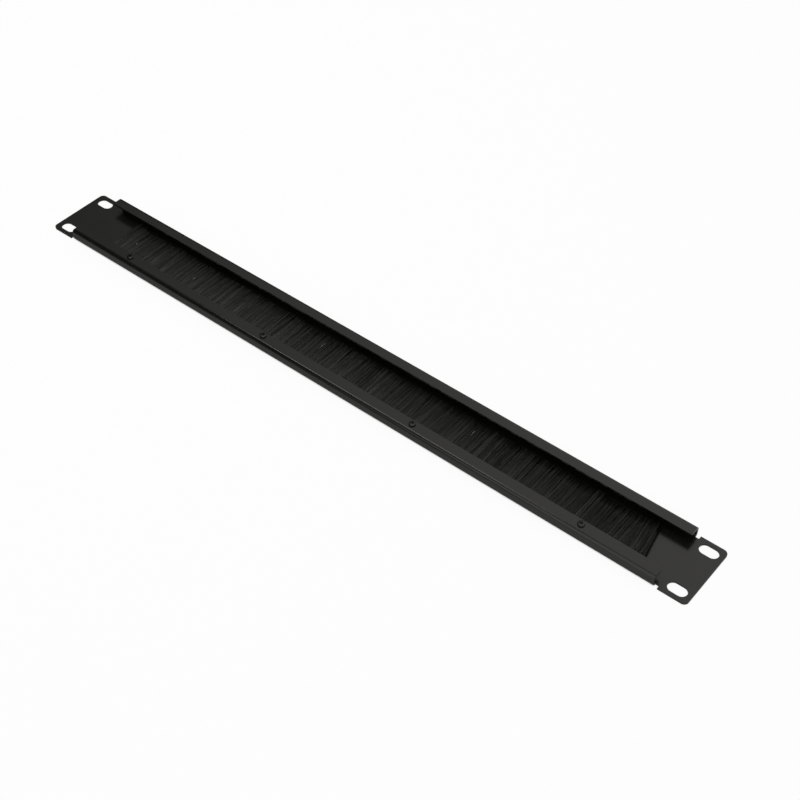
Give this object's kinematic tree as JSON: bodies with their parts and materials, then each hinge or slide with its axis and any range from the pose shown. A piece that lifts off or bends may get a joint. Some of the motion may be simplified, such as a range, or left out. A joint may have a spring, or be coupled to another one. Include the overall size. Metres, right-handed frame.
{
  "type": "rack brush strip panel",
  "caption": "Folded steel rack panel, one unit high, whose long cable opening is closed by a curtain of bristles held under the wider of its two rear lips.",
  "frame": {"origin": "middle of the panel's front face, at Z 0: the panel lies on its front face", "axes": "+X along the panel's width across the rack, +Y up the rack towards the plain lip, +Z towards the rear of the rack"},
  "size_m": [0.4826, 0.044, 0.0092],
  "materials": {
    "powder_coated_steel": "black powder coat, fine texture, semi-matt",
    "channel_steel": "galvanised strip, dull",
    "wire_steel": "drawn wire, dull",
    "bristle_nylon": "black nylon filament, slightly glossy",
    "black_screw_steel": "black oxide, satin"
  },
  "bodies": {
    "root": {"panel": "powder_coated_steel", "strip_channel": "channel_steel", "core_wire": "wire_steel", "bristles": "bristle_nylon", "lip_screws": "black_screw_steel"}
  },
  "joints": []
}
